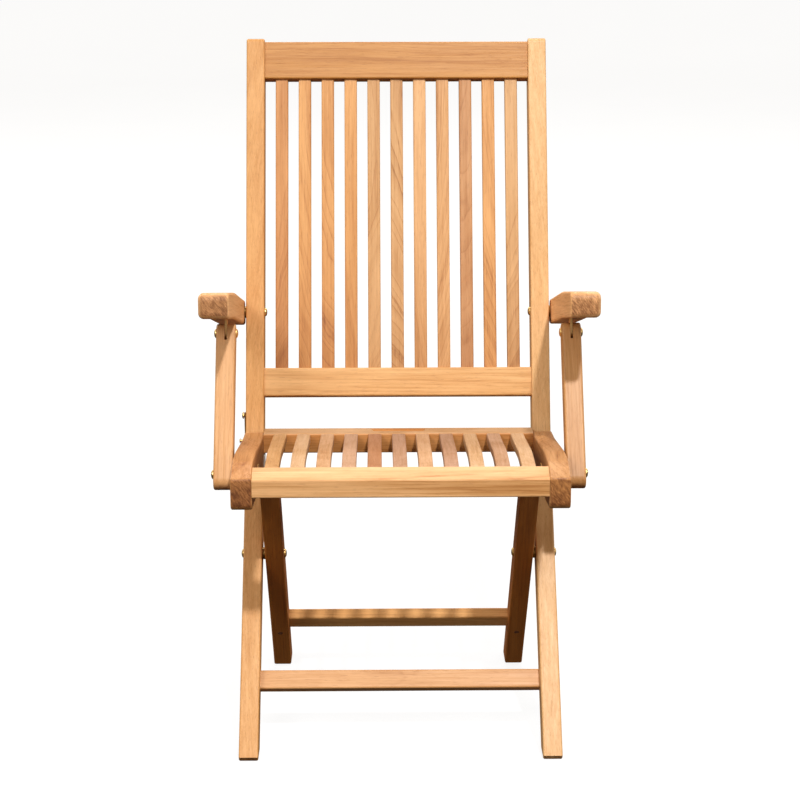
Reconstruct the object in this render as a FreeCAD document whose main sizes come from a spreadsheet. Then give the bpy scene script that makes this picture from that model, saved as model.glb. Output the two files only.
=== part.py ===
import FreeCAD, Part
import math
import os
import Sketcher
from FreeCAD import Vector, Placement, Rotation

# Folding armchair in solid wood with brass fittings.
# Frame: +Z up, the sitter looks along -Y, +X is the right-hand side seen from the front.
# Side profiles are drawn with y measured from the toe line of the front legs, and every
# piece is then placed back by half the overall depth, so the origin is the centre of the
# footprint on the floor.

doc = FreeCAD.newDocument("folding_armchair")
sheet = doc.addObject("Spreadsheet::Sheet", "Dims")

CELLS = [
    # whole chair
    ("depth_mid", 249.7), ("lift", 3.0), ("half_inner", 205.0), ("board", 28.0), ("bar_depth", 38.0),
    # front leg and back stile, one bent piece
    ("bend_y", 284.8), ("bend_z", 376.9), ("bend_radius", 450.0),
    ("lean_low", 37.1), ("lean_high", 20.07), ("stile_rise", 648.7),
    ("edge_round", 2.5), ("stile_top_round", 7.0), ("toe_cut_height", 7.0), ("toe_cut_back", 10.0),
    # crossing pivot and rear legs
    ("cross_y", 207.2), ("cross_z", 243.4), ("rear_lean", 38.05), ("rear_reach", 194.0),
    ("rear_leg_inner", 172.8), ("rear_board", 27.4), ("rear_head_radius", 15.0), ("rear_taper_start", 95.0),
    # seat pivot, arm pivot, post pivots
    ("seat_pivot_y", 267.0), ("seat_pivot_z", 396.0), ("arm_pivot_y", 378.1), ("arm_pivot_z", 577.6),
    ("post_foot_y", 94.6), ("post_foot_z", 400.8),
    # seat
    ("rail_inner", 203.3), ("rail_board", 29.4), ("rail_rear_radius", 18.5), ("rail_gap", 1.2),
    ("rail_front_y", -41.8), ("rail_nose_low_z", 389.5), ("rail_rear_low_z", 352.0), ("rail_heel_round", 5.0), ("rail_edge_round", 2.6),
    ("front_rail_back_y", -11.4), ("front_rail_top_z", 443.8), ("front_rail_lip_z", 432.3), ("front_rail_low_z", 406.8),
    ("rear_rail_front_y", 256.5), ("rear_rail_back_y", 291.5), ("rear_rail_top_z", 415.6),
    ("rear_rail_back_z", 415.2), ("rear_rail_low_z", 385.4),
    ("slat_pitch", 35.7), ("seat_slat_width", 20.1), ("seat_slat_thick", 13.0), ("slat_count", 11.0),
    ("back_slat_width", 19.4), ("back_slat_thick", 12.0),
    # back rails, measured along the stile from the bend line at seat height
    ("back_rail_thick", 24.0), ("back_rail_recess", 6.0), ("stile_ref_y", 297.4), ("stile_ref_z", 411.4),
    ("low_rail_start", 51.9), ("low_rail_end", 95.6), ("top_rail_start", 549.0), ("top_rail_end", 607.4),
    # stretchers
    ("stretcher_tall", 28.0), ("front_stretcher_thick", 21.0), ("rear_stretcher_thick", 19.0), ("stretcher_z", 82.7), ("rear_stretcher_z", 84.3),
    # arms and posts
    ("arm_inner", 236.0), ("arm_width", 43.0), ("post_inner", 237.6), ("post_width", 28.2), ("post_depth", 28.0),
    ("post_foot_tail", 22.6), ("slot_width", 3.6), ("tongue_thick", 3.0), ("tongue_width", 23.0), ("tongue_radius", 9.5),
    ("slot_below", 14.2), ("tongue_embed", 12.0),
    # fittings
    ("bolt_radius", 4.0), ("running_gap", 0.05), ("cap_radius", 6.6), ("cap_height", 3.8), ("small_cap_height", 3.2),
    ("washer_radius", 9.0), ("pin_radius", 3.5), ("plate_thick", 1.2), ("hinge_plate_thick", 2.5),
    ("rest_pin_radius", 4.0), ("notch_radius", 4.6), ("notch_mouth", 8.0), ("notch_groove", 3.5), ("plug_radius", 4.0), ("plug_depth", 8.1),
    ("screw_radius", 1.8), ("screw_head_radius", 3.6),
    ("latch_y", 322.0), ("latch_z", 427.5), ("latch_length", 33.3), ("wire_radius", 1.25),
    ("stud_y", 233.6), ("stud_z", 411.7),
]
V = {}
for i, (alias, value) in enumerate(CELLS):
    sheet.set("A%d" % (i + 1), alias)
    sheet.set("B%d" % (i + 1), str(value))
    sheet.setAlias("B%d" % (i + 1), alias)
    V[alias] = value
doc.recompute()


class Dim:
    """A length that carries its value and the sheet expression it comes from."""

    def __init__(self, v, e):
        self.v, self.e = v, e

    def _o(self, other):
        return other if isinstance(other, Dim) else Dim(float(other), repr(float(other)))

    def __add__(self, o):
        o = self._o(o)
        return Dim(self.v + o.v, "(%s + %s)" % (self.e, o.e))

    def __radd__(self, o):
        return self._o(o) + self

    def __sub__(self, o):
        o = self._o(o)
        return Dim(self.v - o.v, "(%s - %s)" % (self.e, o.e))

    def __rsub__(self, o):
        return self._o(o) - self

    def __mul__(self, o):
        o = self._o(o)
        return Dim(self.v * o.v, "(%s * %s)" % (self.e, o.e))

    def __rmul__(self, o):
        return self._o(o) * self

    def __truediv__(self, o):
        o = self._o(o)
        return Dim(self.v / o.v, "(%s / %s)" % (self.e, o.e))

    def __neg__(self):
        return Dim(-self.v, "(0 - %s)" % self.e)


def D(name):
    return Dim(V[name], "Dims." + name)


def fsin(d):
    return Dim(math.sin(math.radians(d.v)), "sin(%s * 1deg)" % d.e)


def fcos(d):
    return Dim(math.cos(math.radians(d.v)), "cos(%s * 1deg)" % d.e)


def num(x):
    return x.v if isinstance(x, Dim) else float(x)


def bind(obj, prop, d):
    """Set a property and tie it to the sheet."""
    if isinstance(d, Dim):
        obj.setExpression(prop, d.e)


BODIES = []


def new_body(label, x, sx=None):
    body = doc.addObject("PartDesign::Body", label)
    body.Label = label
    if hasattr(body, "AllowCompound"):
        body.AllowCompound = True
    body.Placement = Placement(Vector(num(x), -V["depth_mid"], V["lift"]), Rotation())
    bind(body, "Placement.Base.x", x)
    body.setExpression("Placement.Base.y", "-Dims.depth_mid")
    body.setExpression("Placement.Base.z", "Dims.lift")
    BODIES.append(body)
    return body


def plane(body, role):
    for f in body.Origin.OriginFeatures:
        if f.Role == role:
            return f
    raise ValueError(role)


def new_sketch(body, name, role="YZ_Plane", offset=0.0):
    sk = body.newObject("Sketcher::SketchObject", name)
    sk.AttachmentSupport = [(plane(body, role), "")]
    sk.MapMode = "FlatFace"
    if num(offset) != 0.0:
        sk.AttachmentOffset = Placement(Vector(0, 0, num(offset)), Rotation())
        bind(sk, "AttachmentOffset.Base.z", offset)
    return sk


def pin_vertex(sk, geo, pos, y, z):
    for kind, val in (("DistanceX", y), ("DistanceY", z)):
        c = sk.addConstraint(Sketcher.Constraint(kind, -1, 1, geo, pos, num(val)))
        if isinstance(val, Dim):
            sk.setExpression("Constraints[%d]" % c, val.e)


def polygon(sk, pts):
    """Closed outline; each corner is held at its own y and z."""
    n = len(pts)
    first = None
    for i in range(n):
        a, b = pts[i], pts[(i + 1) % n]
        g = sk.addGeometry(Part.LineSegment(Vector(num(a[0]), num(a[1]), 0), Vector(num(b[0]), num(b[1]), 0)), False)
        if first is None:
            first = g
    for i in range(n):
        sk.addConstraint(Sketcher.Constraint("Coincident", first + i, 2, first + (i + 1) % n, 1))
    for i in range(n):
        pin_vertex(sk, first + i, 1, pts[i][0], pts[i][1])


def circle(sk, y, z, r):
    g = sk.addGeometry(Part.Circle(Vector(num(y), num(z), 0), Vector(0, 0, 1), num(r)), False)
    pin_vertex(sk, g, 3, y, z)
    c = sk.addConstraint(Sketcher.Constraint("Radius", g, num(r)))
    if isinstance(r, Dim):
        sk.setExpression("Constraints[%d]" % c, r.e)


def chain(sk, curves):
    """Closed outline of lines, arcs and splines given in order, joined end to end and fixed."""
    first = None
    for c in curves:
        g = sk.addGeometry(c, False)
        if first is None:
            first = g
    for i in range(len(curves)):
        sk.addConstraint(Sketcher.Constraint("Block", first + i))


def pad(body, sk, length, name="Pad"):
    p = body.newObject("PartDesign::Pad", name)
    p.Profile = sk
    p.Length = num(length)
    bind(p, "Length", length)
    doc.recompute()
    return p


def pocket(body, sk, length, name="Cut"):
    before = body.Shape.Volume
    p = body.newObject("PartDesign::Pocket", name)
    p.Profile = sk
    p.Length = num(length)
    bind(p, "Length", length)
    p.Reversed = True
    doc.recompute()
    if p.Shape.isNull() or abs(p.Shape.Volume - before) < 1e-3:
        p.Reversed = False
        doc.recompute()
    if abs(p.Shape.Volume - before) < 1e-3:
        raise RuntimeError("cut removes nothing in " + body.Label)
    return p


def hole(body, y, z, r, start, length, name="Hole"):
    """Round hole along x, from the local x start, of the given length."""
    sk = new_sketch(body, name + "Sketch", offset=start)
    circle(sk, y, z, r)
    return pocket(body, sk, length, name)


def fillet(body, pick, radius, name="Round"):
    base = body.Tip
    edges = []
    for i, e in enumerate(base.Shape.Edges):
        if pick(e):
            edges.append("Edge%d" % (i + 1))
    if not edges:
        raise RuntimeError("no edge to round in " + body.Label)
    f = body.newObject("PartDesign::Fillet", name)
    f.Base = (base, edges)
    f.Radius = num(radius)
    bind(f, "Radius", radius)
    doc.recompute()
    return f


def ends(e):
    return [v.Point for v in e.Vertexes]


def in_plane_x(x, tol=1e-4):
    """Edges that lie in the plane at local x."""
    def pick(e):
        bb = e.BoundBox
        return abs(bb.XMin - x) < tol and abs(bb.XMax - x) < tol and e.Length > 3.0
    return pick


def side_edges(w):
    a, b = in_plane_x(0.0), in_plane_x(w)
    return lambda e: a(e) or b(e)


def along_x(w):
    def pick(e):
        bb = e.BoundBox
        return bb.XLength > w - 1e-3 and bb.YLength < 1e-4 and bb.ZLength < 1e-4
    return pick


def near(y, z, tol=1.0):
    """Edges along x that pass near the side-view point y, z."""
    def pick(e):
        bb = e.BoundBox
        return bb.XLength > 5 and abs(bb.YMin - y) < tol and abs(bb.ZMin - z) < tol and bb.YLength < 1e-3 and bb.ZLength < 1e-3
    return pick


def side_x(side, outer):
    """Local origin of a board on the right (+1) or left (-1): its lowest x."""
    return outer[0] if side > 0 else -outer[1]


SIDES = (("right", 1), ("left", -1))


# ---------------------------------------------------------------- side-view geometry
def vec(a):
    return Vector(a[0], a[1], 0)


sl, cl = math.sin(math.radians(V["lean_low"])), math.cos(math.radians(V["lean_low"]))
sh, ch = math.sin(math.radians(V["lean_high"])), math.cos(math.radians(V["lean_high"]))
half_turn = math.radians((V["lean_low"] - V["lean_high"]) / 2.0)
mid = math.radians((V["lean_low"] + V["lean_high"]) / 2.0)
bend_centre = (V["bend_y"] - math.cos(mid) * V["bend_radius"] / math.cos(half_turn),
               V["bend_z"] + math.sin(mid) * V["bend_radius"] / math.cos(half_turn))
PIV1 = (V["cross_y"], V["cross_z"])
PIV3 = (V["seat_pivot_y"], V["seat_pivot_z"])
ARM = (V["arm_pivot_y"], V["arm_pivot_z"])
FOOT = (V["post_foot_y"], V["post_foot_z"])
HEAD = (FOOT[0] + ARM[0] - PIV3[0], FOOT[1] + ARM[1] - PIV3[1])
rs, rc = math.sin(math.radians(V["rear_lean"])), math.cos(math.radians(V["rear_lean"]))
REST = (PIV1[0] - rs * V["rear_reach"], PIV1[1] + rc * V["rear_reach"])

# expressions of the same points
e_head_y = D("post_foot_y") + D("arm_pivot_y") - D("seat_pivot_y")
e_head_z = D("post_foot_z") + D("arm_pivot_z") - D("seat_pivot_z")
e_rest_y = D("cross_y") - fsin(D("rear_lean")) * D("rear_reach")
e_rest_z = D("cross_z") + fcos(D("rear_lean")) * D("rear_reach")

SL, CL, SH, CH = fsin(D("lean_low")), fcos(D("lean_low")), fsin(D("lean_high")), fcos(D("lean_high"))

# front face of the stile above the bend, at the distance t from the reference point


def stile_point(t, back):
    """Point on the upper stile: t along it from the seat reference, back behind its front face."""
    return (D("stile_ref_y") + SH * t + CH * back, D("stile_ref_z") + CH * t - SH * back)


# ---------------------------------------------------------------- front legs with back stiles
for name, s in SIDES:
    x0 = D("half_inner") if s > 0 else -(D("half_inner") + D("board"))
    b = new_body("front_leg_stile_" + name, x0)
    dep = D("bar_depth")
    turn = Dim((V["lean_low"] - V["lean_high"]) / 2, "((Dims.lean_low - Dims.lean_high) / 2)")
    half = Dim((V["lean_low"] + V["lean_high"]) / 2, "((Dims.lean_low + Dims.lean_high) / 2)")
    rear_bend_y = D("bend_y") + fcos(half) * dep / fcos(turn)
    rear_bend_z = D("bend_z") - fsin(half) * dep / fcos(turn)
    top_y, top_z = D("bend_y") + SH * D("stile_rise"), D("bend_z") + CH * D("stile_rise")
    sk = new_sketch(b, "Outline")
    polygon(sk, [
        (SL / CL * (D("toe_cut_height") - D("lift")), D("toe_cut_height") - D("lift")),
        (D("toe_cut_back") - SL / CL * D("lift"), -D("lift")),
        (dep / CL - SL / CL * D("lift"), -D("lift")),
        (rear_bend_y, rear_bend_z),
        (top_y + CH * dep, top_z - SH * dep),
        (top_y, top_z),
        (D("bend_y"), D("bend_z")),
    ])
    pad(b, sk, D("board"))
    fillet(b, near(V["bend_y"], V["bend_z"]), D("bend_radius"), "FrontBend")
    fillet(b, near(rear_bend_y.v, rear_bend_z.v), D("bend_radius") + dep, "RearBend")
    fillet(b, near(top_y.v, top_z.v), D("stile_top_round"), "TopRound")
    fillet(b, near(num(top_y + CH * dep), num(top_z - SH * dep)), D("stile_top_round"), "TopRoundBack")
    fillet(b, side_edges(V["board"]), D("edge_round"), "Edges")
    hole(b, D("cross_y"), D("cross_z"), D("bolt_radius"), -1.0, D("board") + 2.0, "CrossHole")
    hole(b, D("arm_pivot_y"), D("arm_pivot_z"), D("bolt_radius"), -1.0, D("board") + 2.0, "ArmHole")

# ---------------------------------------------------------------- back rails and slats
full = D("half_inner") * 2.0


def back_rail(label, t0, t1):
    b = new_body(label, -D("half_inner"))
    sk = new_sketch(b, "Section")
    f, k = D("back_rail_recess"), D("back_rail_recess") + D("back_rail_thick")
    polygon(sk, [stile_point(t0, f), stile_point(t0, k), stile_point(t1, k), stile_point(t1, f)])
    pad(b, sk, full)
    fillet(b, along_x(full.v), D("edge_round"), "Edges")
    return b


back_rail("top_back_rail", D("top_rail_start"), D("top_rail_end"))
back_rail("lower_back_rail", D("low_rail_start"), D("low_rail_end"))


def slat_row(label, make_sketch, width):
    """Eleven equal slats side by side, each its own solid."""
    first_x = -(D("slat_pitch") * ((D("slat_count") - 1.0) / 2.0)) - width / 2.0
    master = new_body(label + "_pattern_piece", first_x)
    BODIES.remove(master)
    sk = new_sketch(master, "Outline")
    make_sketch(sk)
    pad(master, sk, width)
    fillet(master, side_edges(width.v), Dim(1.8, "1.8"), "Edges")
    group = doc.addObject("Part::Feature", label)
    group.Label = label
    one = master.Shape.copy()
    rows = []
    for i in range(int(V["slat_count"])):
        c = one.copy()
        c.translate(Vector(i * V["slat_pitch"], 0, 0))
        rows.append(c)
    group.Shape = Part.makeCompound(rows)
    BODIES.append(group)
    return group


def back_slat_outline(sk):
    f = D("back_rail_recess") + (D("back_rail_thick") - D("back_slat_thick")) / 2.0
    k = f + D("back_slat_thick")
    polygon(sk, [stile_point(D("low_rail_end"), f), stile_point(D("low_rail_end"), k),
                 stile_point(D("top_rail_start"), k), stile_point(D("top_rail_start"), f)])


slat_row("back_slats", back_slat_outline, D("back_slat_width"))

# ---------------------------------------------------------------- stretcher between the front legs
b = new_body("front_leg_stretcher", -D("half_inner"))
sk = new_sketch(b, "Section")
dep = D("bar_depth")
half_tall = D("stretcher_tall") / 2.0


def low_leg_point(t, back):
    """Point on the lower front leg: t along it from the floor, back behind its front face."""
    return (SL * t + CL * back, CL * t - SL * back)


mid_t = D("stretcher_z") / CL + SL / CL * (dep - D("front_stretcher_thick") / 2.0)
fr, bk = dep - D("front_stretcher_thick"), dep - 1.0
polygon(sk, [low_leg_point(mid_t - half_tall, fr), low_leg_point(mid_t - half_tall, bk),
             low_leg_point(mid_t + half_tall, bk), low_leg_point(mid_t + half_tall, fr)])
pad(b, sk, full)
fillet(b, along_x(full.v), D("edge_round"), "Edges")

# ---------------------------------------------------------------- rear legs
RS, RC = fsin(D("rear_lean")), fcos(D("rear_lean"))


def rear_point(t, back):
    """Point on a rear leg: t up its axis from the crossing pivot, back towards the rear."""
    return (D("cross_y") - RS * t + RC * back, D("cross_z") + RC * t + RS * back)


hd = D("bar_depth") / 2.0
foot_t = -((D("cross_z") + D("lift")) / RC)
for name, s in SIDES:
    x0 = D("rear_leg_inner") if s > 0 else -(D("rear_leg_inner") + D("rear_board"))
    b = new_body("rear_leg_" + name, x0)
    sk = new_sketch(b, "Outline")
    r = D("rear_head_radius")
    # floor cut: the axis meets the floor at foot_t, the faces a little above and below it
    slope = hd * RS / RC
    polygon(sk, [
        rear_point(foot_t + slope, -hd),
        rear_point(foot_t - slope, hd),
        rear_point(D("rear_taper_start"), hd),
        rear_point(D("rear_reach"), r),
        rear_point(D("rear_reach") + r, r),
        rear_point(D("rear_reach") + r, -r),
        rear_point(D("rear_reach"), -r),
        rear_point(D("rear_taper_start"), -hd),
    ])
    pad(b, sk, D("rear_board"))
    for sign in (1, -1):
        c = rear_point(D("rear_reach") + r, r * float(sign))
        fillet(b, near(num(c[0]), num(c[1])), r - 0.05, "Head%d" % (1 if sign > 0 else 2))
    fillet(b, side_edges(V["rear_board"]), D("edge_round"), "Edges")
    hole(b, D("cross_y"), D("cross_z"), D("bolt_radius") + D("running_gap"), -1.0, D("rear_board") + 2.0, "CrossHole")
    hole(b, e_rest_y, e_rest_z, D("rest_pin_radius"), -1.0, D("rear_board") + 2.0, "PinHole")
    # socket for the plug that pins the stretcher, square to the leg's front face
    plug_t = -((D("cross_z") - D("rear_stretcher_z")) / RC)
    py_, pz_ = rear_point(plug_t, -hd)
    sk = b.newObject("Sketcher::SketchObject", "PlugSketch")
    sk.MapMode = "Deactivated"
    sk.Placement = Placement(Vector(V["rear_board"] / 2.0, num(py_), num(pz_)), Rotation(Vector(0, 0, 1), Vector(0, rc, rs)))
    circle(sk, Dim(0.0, "0.0"), Dim(0.0, "0.0"), D("plug_radius") + 0.05)
    pocket(b, sk, D("plug_depth"), "PlugSocket")

b = new_body("rear_leg_stretcher", -D("rear_leg_inner"))
sk = new_sketch(b, "Section")
mid_t = -((D("cross_z") - D("rear_stretcher_z")) / RC)
fr, bk = hd - D("rear_stretcher_thick"), hd - 1.0
polygon(sk, [rear_point(mid_t - half_tall, fr), rear_point(mid_t - half_tall, bk),
             rear_point(mid_t + half_tall, bk), rear_point(mid_t + half_tall, fr)])
pad(b, sk, D("rear_leg_inner") * 2.0)
fillet(b, along_x(2 * V["rear_leg_inner"]), D("edge_round"), "Edges")

# ---------------------------------------------------------------- seat frame
# top line of the side rails, rear to front, in side view
RAIL_TOP = [(222.0, 418.2, 400.0), (60.0, 443.4, 300.0), (-2.0, 447.2, 60.0), (-41.8, 434.2, 5.0)]
SLAT_TOP = [(256.5, 415.3, 0.0), (216.0, 419.4, 500.0), (86.0, 436.9, 260.0), (20.0, 436.6, 160.0), (-11.4, 431.8, 0.0)]


def rounded(pts):
    """Open run of lines and tangent arcs through corner points given as (y, z, radius)."""
    out = []
    here = (pts[0][0], pts[0][1])
    for a, b_, c in zip(pts, pts[1:], pts[2:]):
        u, v = unit(b_, a), unit(b_, c)
        r = b_[2]
        cosang = u[0] * v[0] + u[1] * v[1]
        ang = math.acos(max(-1.0, min(1.0, cosang)))
        t = r / math.tan(ang / 2.0)
        p, q = (b_[0] + u[0] * t, b_[1] + u[1] * t), (b_[0] + v[0] * t, b_[1] + v[1] * t)
        m = ((u[0] + v[0]), (u[1] + v[1]))
        ml = math.hypot(*m)
        depth = r / math.sin(ang / 2.0) - r
        k = (b_[0] + m[0] / ml * depth, b_[1] + m[1] / ml * depth)
        out.append(Part.LineSegment(vec(here), vec(p)))
        out.append(Part.Arc(vec(p), vec(k), vec(q)))
        here = q
    out.append(Part.LineSegment(vec(here), vec(pts[-1])))
    return out


def unit(a, b):
    d = math.hypot(b[0] - a[0], b[1] - a[1])
    return ((b[0] - a[0]) / d, (b[1] - a[1]) / d)


R3 = V["rail_rear_radius"]
RG = V["bend_radius"] - V["rail_gap"]
uc = unit(bend_centre, PIV3)
touch = (PIV3[0] + uc[0] * R3, PIV3[1] + uc[1] * R3)
scale_in = RG / math.hypot(touch[0] - bend_centre[0], touch[1] - bend_centre[1])
top_start = (PIV3[0], PIV3[1] + R3)
low_z = V["rail_rear_low_z"]
low_y = bend_centre[0] + math.sqrt(RG ** 2 - (low_z - bend_centre[1]) ** 2)
touch2 = (bend_centre[0] + (touch[0] - bend_centre[0]) * scale_in, bend_centre[1] + (touch[1] - bend_centre[1]) * scale_in)
r_eff = math.hypot(touch2[0] - PIV3[0], touch2[1] - PIV3[1])


NOTCH_OUT = (109.0, 364.0)
NOTCH_PLATE = [(66.0, 378.2), (66.0, 413.0), (107.0, 413.0), (126.0, 370.6)]
NOTCH_SCREWS = [(72.0, 406.5), (101.5, 407.5)]


def stadium(p, q, r):
    """Outline of a bar with round ends."""
    d = unit(p, q)
    n = (-d[1], d[0])
    a1 = (p[0] + n[0] * r, p[1] + n[1] * r)
    a2 = (q[0] + n[0] * r, q[1] + n[1] * r)
    b1 = (p[0] - n[0] * r, p[1] - n[1] * r)
    b2 = (q[0] - n[0] * r, q[1] - n[1] * r)
    endq = (q[0] + d[0] * r, q[1] + d[1] * r)
    endp = (p[0] - d[0] * r, p[1] - d[1] * r)
    return [Part.LineSegment(vec(a1), vec(a2)), Part.Arc(vec(a2), vec(endq), vec(b2)),
            Part.LineSegment(vec(b2), vec(b1)), Part.Arc(vec(b1), vec(endp), vec(a1))]


def hull_outline(circles):
    """Tangent outline round three circles given counter-clockwise."""
    segs = []
    n_ = len(circles)
    tang = []
    for i in range(n_):
        (c0, r0), (c1, r1) = circles[i], circles[(i + 1) % n_]
        dx, dy = c1[0] - c0[0], c1[1] - c0[1]
        L = math.hypot(dx, dy)
        base = math.atan2(dy, dx)
        a = base - math.acos((r0 - r1) / L)
        p = (c0[0] + r0 * math.cos(a), c0[1] + r0 * math.sin(a))
        q = (c1[0] + r1 * math.cos(a), c1[1] + r1 * math.sin(a))
        tang.append((p, q, a))
    for i in range(n_):
        p, q, a = tang[i]
        segs.append(Part.LineSegment(vec(p), vec(q)))
        c1, r1 = circles[(i + 1) % n_]
        a2 = tang[(i + 1) % n_][2]
        da = (a2 - a) % (2 * math.pi)
        m = a + da / 2
        segs.append(Part.Arc(vec(q), vec((c1[0] + r1 * math.cos(m), c1[1] + r1 * math.sin(m))), vec(tang[(i + 1) % n_][0])))
    return segs


def rail_outline(sk):
    # the rounded heel of the rail meets its top line on a tangent
    a1 = math.atan2(touch2[1] - PIV3[1], touch2[0] - PIV3[0])
    far = (RAIL_TOP[0][0], RAIL_TOP[0][1])
    dx, dy = far[0] - PIV3[0], far[1] - PIV3[1]
    a0 = math.atan2(dy, dx) - math.acos(r_eff / math.hypot(dx, dy))
    m = (PIV3[0] + r_eff * math.cos((a0 + a1) / 2), PIV3[1] + r_eff * math.sin((a0 + a1) / 2))
    start = (PIV3[0] + r_eff * math.cos(a0), PIV3[1] + r_eff * math.sin(a0))
    head = Part.Arc(vec(touch2), vec(m), vec(start))
    b0 = math.atan2(touch2[1] - bend_centre[1], touch2[0] - bend_centre[0])
    fy, nz = V["rail_front_y"], V["rail_nose_low_z"]
    # the lower rear corner is rounded too: an arc that touches the underside and the hollow of the bend
    r = V["rail_heel_round"]
    u = unit((low_y, low_z), (fy, nz))
    n = (u[1], -u[0])
    if n[1] < 0:
        n = (-n[0], -n[1])
    ox, oz = low_y + n[0] * r, low_z + n[1] * r
    fx_, fz_ = ox - bend_centre[0], oz - bend_centre[1]
    bq = fx_ * u[0] + fz_ * u[1]
    cq = fx_ ** 2 + fz_ ** 2 - (RG - r) ** 2
    roots = [-bq + k * math.sqrt(bq ** 2 - cq) for k in (1, -1)]
    k = min(roots, key=abs)
    c = (ox + u[0] * k, oz + u[1] * k)
    q1 = (c[0] - n[0] * r, c[1] - n[1] * r)
    w = unit(bend_centre, c)
    q2 = (bend_centre[0] + w[0] * RG, bend_centre[1] + w[1] * RG)
    wm = (w[0] - n[0], w[1] - n[1])
    wl = math.hypot(*wm)
    corner = Part.Arc(vec(q1), vec((c[0] + wm[0] / wl * r, c[1] + wm[1] / wl * r)), vec(q2))
    b1 = math.atan2(q2[1] - bend_centre[1], q2[0] - bend_centre[0])
    bm = (bend_centre[0] + RG * math.cos((b0 + b1) / 2), bend_centre[1] + RG * math.sin((b0 + b1) / 2))
    heel = Part.Arc(vec(touch2), vec(bm), vec(q2))
    run = rounded([(start[0], start[1], 0.0)] + RAIL_TOP + [(fy, nz, 10.0), (q1[0], q1[1], 0.0)])
    chain(sk, [head] + run + [corner, heel])


for name, s in SIDES:
    x0 = D("rail_inner") if s > 0 else -(D("rail_inner") + D("rail_board"))
    w = D("rail_board")
    b = new_body("seat_rail_" + name, x0)
    sk = new_sketch(b, "Outline")
    rail_outline(sk)
    pad(b, sk, w)
    fillet(b, side_edges(w.v), D("rail_edge_round"), "Edges")
    # pivot hole, open on the outer face only
    depth = 21.0
    hole(b, D("seat_pivot_y"), D("seat_pivot_z"), D("pin_radius") + D("running_gap"),
         (w - depth) if s > 0 else -1.0, Dim(depth + 1.0, repr(depth + 1.0)), "PivotHole")
    # grooves in the inner face for the pins of the rear legs: the open notch they rest in,
    # and a relief where they pass the lower edge again when the chair is folded
    g0 = -1.0 if s > 0 else w - D("notch_groove")
    sk = new_sketch(b, "NotchGrooveSketch", offset=g0)
    chain(sk, hull_outline([(REST, V["notch_radius"] + 0.8), (NOTCH_OUT, V["notch_mouth"] + 0.8)]))
    pocket(b, sk, D("notch_groove") + 1.0, "NotchGroove")
    sk = new_sketch(b, "ReliefSketch", offset=g0)
    chain(sk, hull_outline([((233.8, 364.4), 6.4), ((221.0, 343.0), 10.0)]))
    pocket(b, sk, D("notch_groove") + 1.0, "Relief")
    # seat for the screw that carries the arm post
    hole(b, D("post_foot_y"), D("post_foot_z"), D("pin_radius"),
         (w - 13.0) if s > 0 else -1.0, Dim(14.0, "14.0"), "PostScrewHole")

# brass plates let the rear legs' pins seat in notches that are open downwards
for name, s in SIDES:
    x0 = (D("rail_inner") - D("plate_thick")) if s > 0 else -D("rail_inner")
    b = new_body("notch_plate_" + name, x0)
    sk = new_sketch(b, "Outline")
    polygon(sk, NOTCH_PLATE)
    pad(b, sk, D("plate_thick"))
    for k, q in enumerate((NOTCH_PLATE[1], NOTCH_PLATE[2])):
        fillet(b, lambda e, q=q: along_x(V["plate_thick"])(e) and abs(e.CenterOfMass.y - q[0]) < 0.5 and abs(e.CenterOfMass.z - q[1]) < 0.5,
               Dim(4.0, "4.0"), "Corner%d" % k)
    sk = new_sketch(b, "NotchSketch", offset=-1.0)
    chain(sk, hull_outline([(REST, V["notch_radius"]), (NOTCH_OUT, V["notch_mouth"])]))
    pocket(b, sk, D("plate_thick") + 2.0, "Notch")
    for k, q in enumerate(NOTCH_SCREWS):
        hole(b, q[0], q[1], 2.4, -1.0, D("plate_thick") + 2.0, "ScrewHole%d" % k)

# thin brass plates on the inner faces of the rails' heels, under the rear cross rail
HEEL_PLATE = [(246.0, 360.5), (253.5, 384.5), (279.5, 384.5), (264.2, 358.0)]
HEEL_SCREWS = [(258.5, 378.5), (261.0, 364.5)]
for name, s in SIDES:
    x0 = (D("rail_inner") - D("plate_thick")) if s > 0 else -D("rail_inner")
    b = new_body("heel_plate_" + name, x0)
    sk = new_sketch(b, "Outline")
    polygon(sk, HEEL_PLATE)
    pad(b, sk, D("plate_thick"))
    fillet(b, along_x(V["plate_thick"]), Dim(2.0, "2.0"), "Corners")
    for k, q in enumerate(HEEL_SCREWS):
        hole(b, q[0], q[1], 1.9, -1.0, D("plate_thick") + 2.0, "ScrewHole%d" % k)

b = new_body("seat_front_rail", -D("rail_inner"))
sk = new_sketch(b, "Section")
polygon(sk, [(D("front_rail_back_y"), D("front_rail_low_z")), (D("front_rail_back_y"), D("front_rail_top_z")),
             (D("rail_front_y"), D("front_rail_lip_z")), (D("rail_front_y"), D("front_rail_low_z"))])
pad(b, sk, D("rail_inner") * 2.0)
fillet(b, along_x(2 * V["rail_inner"]), D("edge_round"), "Edges")

b = new_body("seat_rear_rail", -D("rail_inner"))
sk = new_sketch(b, "Section")
polygon(sk, [(D("rear_rail_front_y"), D("rear_rail_low_z")), (D("rear_rail_back_y"), D("rear_rail_low_z")),
             (D("rear_rail_back_y"), D("rear_rail_back_z")), (D("rear_rail_front_y"), D("rear_rail_top_z"))])
pad(b, sk, D("rail_inner") * 2.0)
fillet(b, along_x(2 * V["rail_inner"]), D("edge_round"), "Edges")
# shallow finger groove in the middle of its top face
sk = new_sketch(b, "GrooveSketch", "XY_Plane", D("rear_rail_top_z"))
mid_x = D("rail_inner")
polygon(sk, [(mid_x - 38.0, D("rear_rail_front_y") + 16.0), (mid_x + 38.0, D("rear_rail_front_y") + 16.0),
             (mid_x + 41.5, D("rear_rail_front_y") + 27.0), (mid_x - 41.5, D("rear_rail_front_y") + 27.0)])
pocket(b, sk, Dim(3.6, "3.6"), "FingerGroove")


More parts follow.
